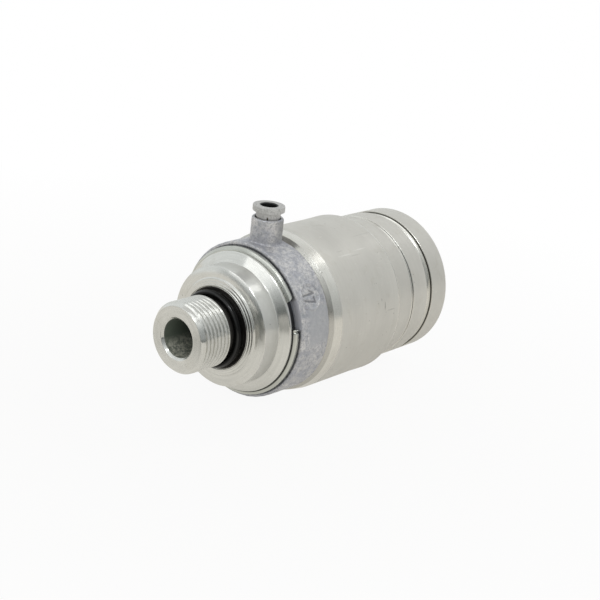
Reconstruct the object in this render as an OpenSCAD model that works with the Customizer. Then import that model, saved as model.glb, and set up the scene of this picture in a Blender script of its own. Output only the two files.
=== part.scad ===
// Hydraulic quick coupler: a push-pull socket with a screwed port stud and a swivelling leak-oil ring.
// Millimetres. The coupler's axis is X. The origin lies on it, in the plane where the hub's seat ridges
// meet the valve block. The stud points to -X, the socket's mouth to +X and the drain spigot to +Z.

/* [Port stud] */
// Outer diameter of the stud's thread
thread_d = 22; // [20:0.5:24]
// Length of the stud from its end face to the seat plane
stud_l = 16.2; // [14:0.1:20]
// Length of the chamfer at the stud's end, along the axis
stud_chamfer_l = 1.45; // [0.5:0.05:1.8]
// Depth of that chamfer, across the axis
stud_chamfer_r = 1.1; // [0.5:0.05:1.3]
// Length of the relief between the thread and the seat plane
relief_l = 4.35; // [3.6:0.05:5]
// Diameter of the bore through the stud
port_d = 11.7; // [9:0.1:12.5]
// Size of the chamfer at the bore's mouth
port_chamfer = 0.75; // [0.3:0.05:1]
// Thickness of the rubber ring on the stud
stud_ring_w = 2.2; // [1.8:0.1:2.4]

/* [Hub] */
// Diameter of the hub
hub_d = 37.3; // [35:0.1:38]
// Axial length from the seat plane to the end of the hub's cylinder
hub_l = 7.85; // [7:0.05:9]
// Diameter of the flange's sharp edge
flange_d = 44.7; // [43.6:0.1:45.2]
// Axial length of the cone from the hub to that edge
flange_cone_l = 1.75; // [1:0.05:2.5]
// Width of the flange's edge
flange_edge_w = 0.25; // [0.2:0.05:0.6]
// Height of the seat ridges above the hub's face
seat_h = 1.2; // [0.8:0.1:1.6]
// Inner diameter of the ridged seat
seat_in_d = 25.2; // [25:0.1:26]
// Outer diameter of the ridged seat
seat_out_d = 30.4; // [28:0.1:32]
// Number of seat ridges
seat_ridges = 3; // [2:1:4]

/* [Drain ring] */
// Diameter of the neck that the drain ring turns on
neck_d = 43.3; // [42.8:0.1:43.3]
// Width of the drain ring
drain_w = 13.5; // [13:0.1:15]
// Outer diameter of the drain ring
drain_d = 48.9; // [48.3:0.1:50]
// Length of the round at the ring's front edge
drain_round_l = 1.5; // [0.8:0.1:2]
// Depth of the round at the ring's front edge
drain_round_r = 1; // [0.5:0.1:1.2]
// Width of the channel that collects the leak oil
channel_w = 4; // [3:0.1:4.4]
// Depth of that channel in the drain ring
channel_h = 1.3; // [0.8:0.1:1.4]
// Thickness of the snap ring in front of the drain ring
snap_w = 1.7; // [1.4:0.05:2]
// Outer diameter of the snap ring
snap_d = 46.4; // [45.6:0.1:46.8]
// Angle of the gap between the snap ring's ends
snap_gap = 21.8; // [8:0.1:30]
// Direction of that gap, from +Z towards -Y
snap_gap_at = 68.3; // [0:0.1:180]
// Thickness of the two rubber rings on the neck
neck_seal_w = 1.7; // [1.4:0.05:1.8]
// Diameter of the cross drillings for leak oil
drill_d = 3; // [2:0.1:3]
// Number of those drillings
drills = 3; // [2:1:4]

/* [Drain spigot] */
// Outer diameter of the cast spigot
spigot_d = 9.85; // [9.6:0.05:10.6]
// Height of the spigot's top above the coupler's axis
spigot_top = 32; // [30.5:0.1:34]
// Radius of the cast fillet at the spigot's foot
spigot_fillet = 0.9; // [0.6:0.1:0.9]
// Diameter of the recess that holds the push-in parts
recess_d = 8.06; // [8:0.02:8.2]
// Outer diameter of the drain tube
tube_d = 5; // [4.6:0.1:5.1]
// Diameter of the release collet's flange
collet_d = 9.9; // [9.4:0.1:10.4]
// Thickness of that flange
collet_flange_h = 1.52; // [1.2:0.02:2]
// Gap between the flange and the spigot's top at rest
collet_gap = 1.95; // [1.6:0.05:2.4]
// Diameter of the collet's neck
collet_neck_d = 6.8; // [6.6:0.1:6.9]
// How far the collet is pressed to release the tube
collet_travel = 1.2; // [0.8:0.1:1.4]
// Number of slots in the collet
collet_slots = 4; // [2:1:6]
// Width of a slot in the collet
slot_w = 0.6; // [0.4:0.05:0.8]

/* [Housing] */
// Diameter of the housing's large cylinder
body_d = 51.8; // [51.2:0.1:53]
// Diameter of the rolled edge where the large cylinder ends
body_lip_d = 52.2; // [51.8:0.1:53.4]
// Outer diameter of the housing's front face
body_face_d = 47.4; // [46:0.1:48.4]
// Length of the large cylinder with its front edge
body_l = 33.35; // [31:0.05:34]
// Length of the polished band before the shoulder
band_l = 7; // [4:0.1:10]
// Diameter of the housing's small cylinder
waist_d = 48.3; // [47.6:0.1:49]
// Length of the small cylinder
waist_l = 9.4; // [8.6:0.1:11]
// Diameter of the bore that the socket carrier slides in
slide_d = 38.8; // [38.4:0.1:39]
// Diameter of the thread between port adapter and housing
adapter_thread_d = 40; // [39.6:0.1:40.2]
// Length of that thread
adapter_thread_l = 8.35; // [7.5:0.05:9]

/* [End sleeve] */
// Outer diameter of the end sleeve
sleeve_d = 48.6; // [48:0.1:49.4]
// Length of the end sleeve
sleeve_l = 19.2; // [18.6:0.1:21]
// Distance from the sleeve's rear face to the middle of its groove
groove_at = 9.3; // [5:0.1:9.4]
// Width of the round groove
groove_w = 2.8; // [2:0.1:3]
// Depth of the round groove
groove_h = 1.2; // [0.8:0.1:1.3]
// Diameter of the thread between housing and end sleeve
sleeve_thread_d = 43.2; // [42.6:0.1:43.6]
// Length of that thread
sleeve_thread_l = 10.6; // [10.2:0.1:12]
// Size of the end sleeve's front chamfer
sleeve_chamfer = 0.9; // [0.4:0.1:1.4]

/* [Socket carrier] */
// Diameter of the socket's wide bore, for the plug's shank
socket_d = 23.8; // [23.6:0.02:24]
// Depth of the wide bore
socket_l = 19; // [18:0.1:20]
// Diameter of the socket's narrow bore, for the plug's nose
nose_d = 20.6; // [20.2:0.1:21]
// Length of the narrow bore
nose_l = 10.8; // [10.5:0.1:12]
// Outer diameter of the carrier's front tube
front_tube_d = 28.6; // [28.4:0.1:28.8]
// Outer diameter of the carrier's tail tube
tail_d = 25.9; // [25.6:0.1:26.2]
// Wall of the carrier's tail tube round its chamber
tail_wall = 1.75; // [1.6:0.05:1.9]
// Diameter of the ring behind the carrier's collar
mid_d = 33.2; // [31:0.1:33.6]
// Width of the carrier's collar
collar_w = 5; // [4:0.1:6]
// How far the carrier slides each way
carrier_travel = 5; // [3:0.1:5]
// Distance from the carrier's mouth to the lock ring's back
lock_at = 22.8; // [22.4:0.1:23.4]
// Distance from the carrier's mouth to the sleeve's end
mouth_depth = 1.6; // [0.8:0.1:3]

/* [Locking balls] */
// Diameter of a locking ball
ball_d = 4; // [3.6:0.1:4.2]
// Number of locking balls
balls = 10; // [6:1:12]
// Distance from the carrier's mouth to the balls
ball_at = 14; // [12:0.1:15]
// How far the balls stand into the socket
ball_reach = 1.05; // [0.7:0.05:1.2]
// Width of the lock ring's land
land_w = 3.6; // [3:0.1:4]

/* [Valve] */
// Diameter of the valve's seat
seat_d = 16.8; // [15:0.1:17.2]
// Diameter of the poppet's head
head_d = 19.4; // [18.6:0.1:19.8]
// Diameter of the poppet's nose
nose_pin_d = 10.4; // [8:0.1:12]
// Length of the nose in front of the valve's seat
nose_pin_l = 5.5; // [4.5:0.1:5.5]
// How far the plug pushes the poppet back
valve_travel = 7; // [5:0.1:7]
// Diameter of the poppet's stem
stem_d = 6; // [5:0.1:7]

/* [Springs] */
// Wire diameter of the two centring springs
spring_wire = 1.6; // [1.2:0.1:1.7]
// Mean diameter of the centring springs
spring_d = 36; // [35.6:0.1:36.4]
// Turns of a centring spring
spring_turns = 3.4; // [3:0.1:3.6]
// Wire diameter of the valve spring
valve_wire = 0.9; // [0.7:0.1:1]
// Mean diameter of the valve spring
valve_spring_d = 11.2; // [10.8:0.1:12]
// Turns of the valve spring
valve_turns = 3.8; // [3:0.1:4]

/* [Fits] */
// Radial clearance where one piece slides or turns in another
running = 0.05; // [0.03:0.01:0.08]
// Gap between faces that turn against each other
face_gap = 0.1; // [0.05:0.01:0.2]
// Gap between pieces that lie together without moving
seat_gap = 0.05; // [0.02:0.01:0.1]
// Radial gap left between screwed or pressed pieces
thread_gap = 0.02; // [0.01:0.01:0.04]

/* [Hidden] */
eps = 0.01;
steel = [0.78, 0.77, 0.73];
cast = [0.62, 0.64, 0.68];
rubber = [0.07, 0.07, 0.07];
plastic = [0.90, 0.89, 0.84];
spring_steel = [0.55, 0.56, 0.58];

// Stud and hub
thread_r = thread_d / 2;
port_r = port_d / 2;
stud_root_r = thread_r - 0.8;
stud_ring_x = -stud_ring_w / 2 - seat_gap;
thread_end_x = -relief_l;
hub_face_x = seat_h + 0.4;
flange_edge_x = hub_l + flange_cone_l;
flange_back_x = flange_edge_x + flange_edge_w;

// Neck, snap ring and drain ring
neck_r = neck_d / 2;
snap_x = flange_back_x + seat_gap;
snap_groove_r = neck_r - 1.25;
drain_x = snap_x + snap_w + seat_gap + face_gap;
drain_r = drain_d / 2;
drain_bore_r = neck_r + running;
spigot_x = drain_x + drain_w / 2 + 0.75;
channel_x = spigot_x - channel_w / 2;
channel_r = drain_bore_r + channel_h;
housing_x = drain_x + drain_w + face_gap;
front_seal_x = drain_x + 2.75;
rear_seal_x = housing_x - 2.35;

// Adapter inside the housing
adapter_end_x = housing_x + adapter_thread_l;
adapter_thread_r = adapter_thread_d / 2;
tail_bore_r = tail_d / 2 + running;
tail_bore_x = hub_l + 0.95;
tail_seal_w = 1.8;
backup_w = 1.3;
tail_groove_x = housing_x + 0.95;
tail_groove_w = tail_seal_w + backup_w + 2 * seat_gap;
tail_groove_r = tail_bore_r + tail_seal_w + seat_gap;
drill_ring_r = adapter_thread_r - 3;
housing_seal_w = 1.2;
counterbore_r = adapter_thread_r + housing_seal_w + seat_gap;
counterbore_l = housing_seal_w + 0.2;

// Housing and end sleeve
slide_r = slide_d / 2;
shoulder_x = housing_x + body_l;
sleeve_x = shoulder_x + waist_l;
sleeve_end_x = sleeve_x + sleeve_l;
sleeve_thread_r = sleeve_thread_d / 2;
sleeve_wall_x = sleeve_x + sleeve_thread_l + 0.2;
wiper_x = sleeve_wall_x + 1.2;
wiper_l = 3;
wiper_r = front_tube_d / 2 + 3.3;
front_snap_x = wiper_x + wiper_l + seat_gap;
front_snap_w = 1.2;

// Socket carrier and what it holds
mouth_x = sleeve_end_x - mouth_depth;
socket_r = socket_d / 2;
nose_r = nose_d / 2;
socket_end_x = mouth_x - socket_l;
seat_x = socket_end_x - nose_l;
seat_r = seat_d / 2;
chamber_r = tail_d / 2 - tail_wall;
guide_bore_r = chamber_r + 0.4;
front_tube_r = front_tube_d / 2;
tail_r = tail_d / 2;
collar_r = slide_r - running;
lock_x = mouth_x - lock_at;
collar_x = (adapter_end_x + lock_x - collar_w) / 2;
tail_end_x = tail_bore_x + carrier_travel + 0.7;
mid_l = lock_x - carrier_travel - collar_x - collar_w - 0.6;
ball_x = mouth_x - ball_at;
ball_r = ball_d / 2;
ball_ring_r = socket_r - ball_reach + ball_r;
land_r = ball_ring_r + ball_r + 2 * running;
relief_r = land_r + 1.25;
lock_lip_w = 1.4;
probe_seal_w = 2;
probe_groove_r = nose_r + probe_seal_w + seat_gap;
probe_groove_x = seat_x + 3.6;
probe_groove_w = probe_seal_w + backup_w + 3 * seat_gap;

// Valve inside the carrier
guide_w = 3;
guide_snap_w = 1.1;
guide_groove_r = guide_bore_r + 0.6;
valve_gap = 0.3;
seat_line = seat_x + seat_r;
head_line = seat_line - valve_gap * sqrt(2);
head_r = head_d / 2;
head_back_x = seat_x - 5.5;
guide_back_x = head_back_x - valve_travel - valve_wire * (valve_turns + 1);
guide_x = guide_back_x - guide_w;
poppet_seal_w = 1.4;
poppet_seal_r = seat_r + 0.3;
poppet_seal_x = seat_line - (poppet_seal_w / 2 + 0.04) * sqrt(2) - poppet_seal_r;
stem_r = stem_d / 2;
guide_hub_r = valve_spring_d / 2 + valve_wire / 2 + 0.15;

// Drain spigot: heights above the axis
recess_r = recess_d / 2;
tube_r = tube_d / 2;
recess_floor = drain_r + 0.15;
tube_seal_w = 1.3;
collet_flange_z = spigot_top + collet_gap;
collet_top_z = collet_flange_z + collet_flange_h;
collet_end_z = recess_floor + tube_seal_w + collet_travel + 0.3;
collet_r = collet_d / 2;
grip_ring_z = collet_end_z + 1.25;
grip_ring_h = 1.9;
tube_bore_r = tube_r + running;

// A turned solid from points [x, radius].
module turned_profile(points, faces = 96) {
    rotate([0, 90, 0]) rotate_extrude($fn = faces) polygon([for (p = points) [p[1], p[0]]]);
}

// A round ring of section diameter w, its middle at x on a circle of radius r.
module round_ring(x, r, w, faces = 96) {
    translate([x, 0, 0]) rotate([0, 90, 0]) rotate_extrude($fn = faces) translate([r, 0]) circle(d = w, $fn = 32);
}

// A flat ring between two radii, from x on over the width w.
module flat_ring(x, inner_r, outer_r, w, faces = 96) {
    turned_profile([[x, inner_r], [x, outer_r], [x + w, outer_r], [x + w, inner_r]], faces);
}

// A cylinder about X, from x on over the length l.
module rod(x, r, l, faces = 96) {
    translate([x, 0, 0]) rotate([0, 90, 0]) cylinder(r = r, h = l, $fn = faces);
}

// Places its children at equal angles about X, the first at the given angle from +Z.
module around(count, first = 0) {
    for (i = [0 : count - 1]) rotate([first + i * 360 / count, 0, 0]) children();
}

// A pie wedge about X, wide enough to cut a ring, centred on an angle from +Z towards -Y.
module wedge(x, w, reach, at, angle) {
    rotate([at, 0, 0]) translate([x, 0, 0]) rotate([0, 90, 0]) linear_extrude(w)
        polygon([[0, 0], for (s = [-1, 0, 1]) reach * [-cos(s * angle / 2), sin(s * angle / 2)]]);
}

// One ridge of the seat: a small trapezium on the stepped face.
function ridge_points(i) = let (
    pitch = (seat_out_d - seat_in_d) / 2 / seat_ridges,
    r = seat_in_d / 2 + i * pitch,
    top = i * seat_h / seat_ridges / 1.4
) [[top, r + 0.12], [top, r + pitch * 0.55], [top + 0.42, r + pitch * 0.75], [top + 0.42, r + pitch]];

module port_adapter() {
    outline = concat(
        [
            [-stud_l, 0],
            [-stud_l, thread_r - stud_chamfer_r],
            [-stud_l + stud_chamfer_l, thread_r],
            [thread_end_x, thread_r],
            [thread_end_x + 0.6, stud_root_r],
            [seat_gap, stud_root_r],
            [0.35, seat_in_d / 2 - 0.1]
        ],
        [for (i = [0 : seat_ridges - 1]) each ridge_points(i)],
        [
            [hub_face_x - 0.25, seat_out_d / 2 + 0.15],
            [hub_face_x + 0.05, hub_d / 2 - 0.35],
            [hub_face_x + 0.35, hub_d / 2],
            [hub_l, hub_d / 2],
            [flange_edge_x, flange_d / 2],
            [flange_back_x, flange_d / 2],
            [flange_back_x, snap_groove_r],
            [drain_x - face_gap, snap_groove_r],
            [drain_x - face_gap, neck_r],
            [channel_x, neck_r],
            [channel_x, neck_r - 0.75],
            [channel_x + channel_w, neck_r - 0.75],
            [channel_x + channel_w, neck_r],
            [housing_x, neck_r],
            [housing_x, adapter_thread_r],
            [adapter_end_x - 0.6, adapter_thread_r],
            [adapter_end_x, adapter_thread_r - 0.6],
            [adapter_end_x, 0]
        ]
    );
    color(steel) difference() {
        turned_profile(outline);
        // Port bore, flow cone and the bore for the carrier's tail.
        rod(-stud_l - 1, port_r, tail_bore_x + stud_l + 1);
        turned_profile([[-stud_l - eps, 0], [-stud_l - eps, port_r + port_chamfer + eps],
            [-stud_l + port_chamfer, port_r], [-stud_l + port_chamfer, 0]]);
        turned_profile([[tail_bore_x - 6, 0], [tail_bore_x - 6, port_r], [tail_bore_x - 2, tail_bore_r - 3],
            [tail_bore_x + eps, tail_bore_r - 3], [tail_bore_x + eps, 0]]);
        rod(tail_bore_x, tail_bore_r, adapter_end_x - tail_bore_x + 1);
        flat_ring(tail_groove_x, tail_bore_r - 0.5, tail_groove_r, tail_groove_w);
        // Grooves for the two neck seals.
        for (x = [front_seal_x, rear_seal_x])
            flat_ring(x - neck_seal_w / 2 - seat_gap, neck_r - neck_seal_w, neck_r + 1, neck_seal_w + 2 * seat_gap);
        // Leak oil runs from the spring chamber to the channel through drillings.
        around(drills) {
            translate([spigot_x, 0, drill_ring_r]) cylinder(d = drill_d, h = neck_r - drill_ring_r + 1, $fn = 32);
            translate([spigot_x - drill_d / 2, 0, drill_ring_r]) rod(0, drill_d / 2, adapter_end_x - spigot_x + drill_d, 32);
        }
    }
}

module stud_o_ring() {
    color(rubber) round_ring(stud_ring_x, stud_root_r + stud_ring_w / 2, stud_ring_w);
}

module retaining_ring() {
    r_in = snap_groove_r + seat_gap;
    r_out = snap_d / 2;
    edge = 0.35;
    color(cast) difference() {
        turned_profile([
            [snap_x, r_in], [snap_x, r_out - edge], [snap_x + edge * 0.3, r_out - edge * 0.3], [snap_x + edge, r_out],
            [snap_x + snap_w - edge, r_out], [snap_x + snap_w - edge * 0.3, r_out - edge * 0.3],
            [snap_x + snap_w, r_out - edge], [snap_x + snap_w, r_in]
        ]);
        wedge(snap_x - 1, snap_w + 2, drain_r * 1.2, snap_gap_at, snap_gap);
    }
}

module neck_seal(x) {
    color(rubber) round_ring(x, neck_r - neck_seal_w / 2, neck_seal_w);
}

module drain_seal_front() {
    neck_seal(front_seal_x);
}

module drain_seal_rear() {
    neck_seal(rear_seal_x);
}

module drain_ring() {
    back_x = drain_x + drain_w;
    front_arc = [for (a = [0 : 18 : 90])
        [drain_x + drain_round_l * (1 - sin(90 - a)) , drain_r - drain_round_r * (1 - sin(a))]];
    foot_z = drain_r - 0.45;
    foot = [for (a = [0 : 15 : 90]) [spigot_d / 2 + spigot_fillet * (1 - sin(a)), foot_z + spigot_fillet * (1 - cos(a))]];
    color(cast) difference() {
        union() {
            turned_profile(concat(
                [[drain_x, 0]],
                front_arc,
                [[back_x - 0.35, drain_r], [back_x, drain_r - 0.75], [back_x, 0]]
            ));
            // Spigot with its cast fillet and rounded rim.
            translate([spigot_x, 0, 0]) rotate_extrude($fn = 64) polygon(concat(
                [[0, channel_r], [spigot_d / 2 + spigot_fillet, channel_r]],
                foot,
                [
                    [spigot_d / 2, spigot_top - 0.45], [spigot_d / 2 - 0.13, spigot_top - 0.13],
                    [spigot_d / 2 - 0.45, spigot_top], [0, spigot_top]
                ]
            ));
        }
        rod(drain_x - 1, drain_bore_r, drain_w + 2);
        flat_ring(channel_x, drain_bore_r - 1, channel_r, channel_w);
        // Recess for the push-in parts, and the passage down to the channel.
        translate([spigot_x, 0, recess_floor]) cylinder(r = recess_r, h = spigot_top, $fn = 64);
        translate([spigot_x, 0, drain_bore_r - 1]) cylinder(r = tube_r - 0.8, h = recess_floor - drain_bore_r + 2, $fn = 48);
    }
}

module drain_collet() {
    foot_r = recess_r - 0.25;
    color(plastic) translate([spigot_x, 0, 0]) difference() {
        rotate_extrude($fn = 64) polygon([
            [tube_bore_r, collet_end_z], [foot_r - 0.3, collet_end_z], [foot_r, collet_end_z + 0.35],
            [foot_r, collet_end_z + 0.7], [collet_neck_d / 2, grip_ring_z - 0.15],
            [collet_neck_d / 2, collet_flange_z], [collet_r - 0.15, collet_flange_z],
            [collet_r, collet_flange_z + 0.2], [collet_r, collet_top_z - 0.55], [collet_r - 0.14, collet_top_z - 0.2],
            [collet_r - 0.5, collet_top_z], [tube_bore_r + 0.2, collet_top_z], [tube_bore_r, collet_top_z - 0.2]
        ]);
        for (i = [0 : collet_slots - 1])
            rotate([0, 0, 45 + i * 360 / collet_slots])
                translate([0, -slot_w / 2, collet_end_z - 1]) cube([collet_r + 1, slot_w, collet_flange_z - collet_end_z + 0.4]);
    }
}

module drain_grip_ring() {
    mouth_r = collet_neck_d / 2 + 0.15;
    outer_r = recess_r - thread_gap;
    color("goldenrod") translate([spigot_x, 0, 0]) rotate_extrude($fn = 64) polygon([
        [outer_r - 0.12, grip_ring_z], [outer_r, grip_ring_z], [outer_r, grip_ring_z + grip_ring_h],
        [mouth_r + 0.25, grip_ring_z + grip_ring_h], [mouth_r, grip_ring_z + grip_ring_h - 0.25], [mouth_r, grip_ring_z + 0.3]
    ]);
}

module drain_tube_seal() {
    color(rubber) translate([spigot_x, 0, recess_floor + tube_seal_w / 2]) rotate_extrude($fn = 64)
        translate([tube_bore_r + 0.05 + tube_seal_w / 2, 0]) circle(d = tube_seal_w, $fn = 24);
}

module housing() {
    face_r = body_face_d / 2;
    body_r = body_d / 2;
    lip_r = body_lip_d / 2;
    waist_r = waist_d / 2;
    color(steel) difference() {
        turned_profile([
            [housing_x, 0],
            [housing_x, face_r],
            [housing_x + 0.85, body_r - 0.5],
            [housing_x + 4, body_r],
            [shoulder_x - band_l, body_r],
            [shoulder_x - 0.6, lip_r],
            [shoulder_x - 0.18, lip_r - 0.12],
            [shoulder_x, lip_r - 0.5],
            [shoulder_x, waist_r + 0.4],
            [shoulder_x + 0.12, waist_r + 0.12],
            [shoulder_x + 0.4, waist_r],
            [sleeve_x - 0.15, waist_r],
            [sleeve_x, waist_r - 0.2],
            [sleeve_x, sleeve_thread_r],
            [sleeve_x + sleeve_thread_l - 0.6, sleeve_thread_r],
            [sleeve_x + sleeve_thread_l, sleeve_thread_r - 0.6],
            [sleeve_x + sleeve_thread_l, 0]
        ]);
        rod(housing_x - 1, adapter_thread_r + thread_gap, adapter_end_x + 0.5 - housing_x + 1);
        rod(housing_x - 1, counterbore_r, counterbore_l + 1);
        rod(adapter_end_x, slide_r, sleeve_end_x - adapter_end_x);
    }
}

module housing_seal() {
    color(rubber) round_ring(
        housing_x + counterbore_l / 2,
        adapter_thread_r + seat_gap / 2 + housing_seal_w / 2,
        housing_seal_w
    );
}

module end_sleeve() {
    r = sleeve_d / 2;
    lip_r = land_r + 0.05;
    groove_x = sleeve_x + groove_at;
    groove = [for (a = [-90 : 15 : 90]) [groove_x + sin(a) * groove_w / 2, r - cos(a) * groove_h]];
    color(steel) difference() {
        turned_profile(concat(
            [[sleeve_x, 0], [sleeve_x, r - 0.35], [sleeve_x + 0.25, r]],
            groove,
            [
                [sleeve_end_x - sleeve_chamfer, r], [sleeve_end_x - sleeve_chamfer * 0.3, r - sleeve_chamfer * 0.3],
                [sleeve_end_x, r - sleeve_chamfer], [sleeve_end_x, 0]
            ]
        ));
        rod(sleeve_x - 1, sleeve_thread_r + thread_gap, sleeve_wall_x - sleeve_x + 1);
        rod(sleeve_x, lip_r, sleeve_l + 1);
        rod(wiper_x, wiper_r, sleeve_l);
        flat_ring(front_snap_x, wiper_r - 0.5, wiper_r + 1, front_snap_w + 2 * seat_gap);
        turned_profile([[sleeve_end_x - 0.8, 0], [sleeve_end_x - 0.8, wiper_r], [sleeve_end_x + eps, wiper_r + 0.8],
            [sleeve_end_x + eps, 0]]);
    }
}

module wiper_seal() {
    outer_r = wiper_r - seat_gap;
    lip_r = front_tube_r + 0.1;
    x = wiper_x + seat_gap;
    l = wiper_l - seat_gap;
    color(rubber) turned_profile([
        [x, outer_r], [x, outer_r - 1.6], [x + 0.7, lip_r + 0.75], [x + l - 0.5, lip_r],
        [x + l, lip_r], [x + l, lip_r + 0.4], [x + 1.4, outer_r - 1.4], [x + l, outer_r - 1.0], [x + l, outer_r]
    ]);
}

module front_snap_ring() {
    inner_r = front_tube_r + 1.7;
    outer_r = wiper_r + 1 - seat_gap;
    x = front_snap_x + seat_gap;
    color(spring_steel) difference() {
        flat_ring(x, inner_r, outer_r, front_snap_w);
        wedge(x - 1, front_snap_w + 2, outer_r * 1.2, 180, 26);
    }
}

module lock_ring() {
    outer_r = slide_r - seat_gap;
    lip_r = land_r + 0.25;
    end_x = sleeve_wall_x - seat_gap;
    ramp = relief_r - land_r;
    back_x = lock_x + lock_lip_w;
    color(spring_steel) turned_profile([
        [lock_x, lip_r], [lock_x, outer_r], [end_x, outer_r], [end_x, relief_r],
        [ball_x + land_w / 2 + ramp, relief_r], [ball_x + land_w / 2, land_r],
        [ball_x - land_w / 2, land_r], [ball_x - land_w / 2 - ramp, relief_r],
        [back_x + 0.3, relief_r], [back_x, lip_r]
    ]);
}

module carrier_tail_seal() {
    color(rubber) round_ring(tail_groove_x + tail_seal_w / 2 + seat_gap / 2, tail_bore_r + tail_seal_w / 2, tail_seal_w);
}

module carrier_backup_ring() {
    x = tail_groove_x + tail_seal_w + seat_gap * 1.5;
    color(plastic) flat_ring(x, tail_bore_r, tail_groove_r - seat_gap, backup_w);
}

// A coil spring about X: sides round the wire, rings along it, with closed flat-lying end turns.
module coil(x, l, mean_r, wire, turns, per_turn = 20, sides = 8) {
    rings = round(turns * per_turn);
    wire_r = wire / 2;
    free = l - wire - 2 * seat_gap;
    // Height of the wire's middle: the first and last half turn lie almost flat.
    function rise(t) = let (u = t * turns, e = 0.6, pitch = 1 / (turns - e)) min(1, max(0, (u - e / 2) * pitch));
    points = [for (i = [0 : rings]) let (t = i / rings, a = t * turns * 360, h = x + seat_gap + wire_r + free * rise(t))
        for (j = [0 : sides - 1]) let (b = j * 360 / sides, r = mean_r + wire_r * cos(b))
            [h + wire_r * sin(b), r * sin(a), r * cos(a)]];
    sidesteps = [for (i = [0 : rings - 1], j = [0 : sides - 1]) let (k = (j + 1) % sides)
        [i * sides + j, i * sides + k, (i + 1) * sides + k, (i + 1) * sides + j]];
    first = [for (j = [sides - 1 : -1 : 0]) j];
    last = [for (j = [0 : sides - 1]) rings * sides + j];
    polyhedron(points, concat([first], sidesteps, [last]), convexity = 10);
}

module rear_spring() {
    color(spring_steel) coil(adapter_end_x, collar_x - adapter_end_x, spring_d / 2, spring_wire, spring_turns);
}

module front_spring() {
    x = collar_x + collar_w;
    color(spring_steel) coil(x, lock_x - x, spring_d / 2, spring_wire, spring_turns);
}

module socket_carrier() {
    collar_end_x = collar_x + collar_w;
    color(steel) difference() {
        turned_profile([
            [tail_end_x, 0], [tail_end_x, tail_r - 0.5], [tail_end_x + 0.8, tail_r],
            [collar_x, tail_r], [collar_x, collar_r - 0.3], [collar_x + 0.3, collar_r],
            [collar_end_x - 0.3, collar_r], [collar_end_x, collar_r - 0.3],
            [collar_end_x, mid_d / 2], [collar_end_x + mid_l, mid_d / 2], [collar_end_x + mid_l + 0.01, front_tube_r],
            [mouth_x - 0.5, front_tube_r], [mouth_x, front_tube_r - 0.5], [mouth_x, 0]
        ]);
        // Socket: wide bore with a lead-in, then the narrow bore with the groove of the probe seal.
        rod(socket_end_x, socket_r, socket_l + 1);
        turned_profile([[mouth_x - 1.2, 0], [mouth_x - 1.2, socket_r], [mouth_x + eps, socket_r + 1.2], [mouth_x + eps, 0]]);
        turned_profile([[socket_end_x - 0.6, 0], [socket_end_x - 0.6, nose_r], [socket_end_x + eps, nose_r + 0.6],
            [socket_end_x + eps, 0]]);
        rod(seat_x, nose_r, nose_l + 0.5);
        flat_ring(probe_groove_x, nose_r - 0.5, probe_groove_r, probe_groove_w);
        // Valve seat cone, chamber and guide bore, open to the tail.
        rod(seat_x - 3, seat_r, 4);
        turned_profile([[seat_line - chamber_r, 0], [seat_line - chamber_r, chamber_r], [seat_x, seat_r], [seat_x, 0]]);
        rod(guide_back_x - 1, chamber_r, seat_line - chamber_r - guide_back_x + 1);
        rod(tail_end_x - 1, guide_bore_r, guide_back_x - tail_end_x + 1);
        flat_ring(guide_x - guide_snap_w - 2 * seat_gap, guide_bore_r - 0.5, guide_groove_r, guide_snap_w + 2 * seat_gap);
        // Pockets for the balls: straight outside, tapered to a lip at the socket's wall.
        around(balls, 180 / balls) translate([ball_x, 0, 0]) {
            translate([0, 0, ball_ring_r - 0.3]) cylinder(r = ball_r + running, h = 4, $fn = 32);
            translate([0, 0, socket_r - 0.6])
                cylinder(r1 = pocket_lip_r(), r2 = ball_r + running, h = ball_ring_r - 0.3 - socket_r + 0.6 + eps, $fn = 32);
        }
    }
}

// Radius of the ball pocket's lip, just wider than the ball there.
function pocket_lip_r() = sqrt(ball_r * ball_r - pow(ball_ring_r - socket_r + 0.1, 2)) + 0.04;

module lock_balls() {
    color(spring_steel) around(balls, 180 / balls) translate([ball_x, 0, ball_ring_r]) sphere(r = ball_r, $fn = 32);
}

module probe_seal() {
    color(rubber) round_ring(probe_groove_x + probe_seal_w / 2 + seat_gap, nose_r + probe_seal_w / 2, probe_seal_w);
}

module probe_backup_ring() {
    x = probe_groove_x + probe_seal_w + 2 * seat_gap;
    color(plastic) flat_ring(x, nose_r, probe_groove_r - seat_gap, backup_w);
}

module valve_guide() {
    outer_r = guide_bore_r - seat_gap;
    rim_r = outer_r - 1.7;
    color(steel) difference() {
        union() {
            flat_ring(guide_x, rim_r, outer_r, guide_w - seat_gap);
            rod(guide_x, guide_hub_r, guide_w - seat_gap, 64);
            around(3) translate([guide_x, -1.1, 0]) cube([guide_w - seat_gap, 2.2, rim_r + 0.5]);
        }
        rod(guide_x - 1, stem_r + running, guide_w + 2, 64);
    }
}

module guide_snap_ring() {
    x = guide_x - guide_snap_w - seat_gap;
    outer_r = guide_groove_r - seat_gap;
    color(spring_steel) difference() {
        flat_ring(x, outer_r - 1.9, outer_r, guide_snap_w);
        wedge(x - 1, guide_snap_w + 2, outer_r * 1.2, 180, 24);
    }
}

module valve_spring() {
    color(spring_steel)
        coil(guide_back_x - seat_gap, head_back_x - guide_back_x + seat_gap, valve_spring_d / 2, valve_wire, valve_turns);
}

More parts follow.
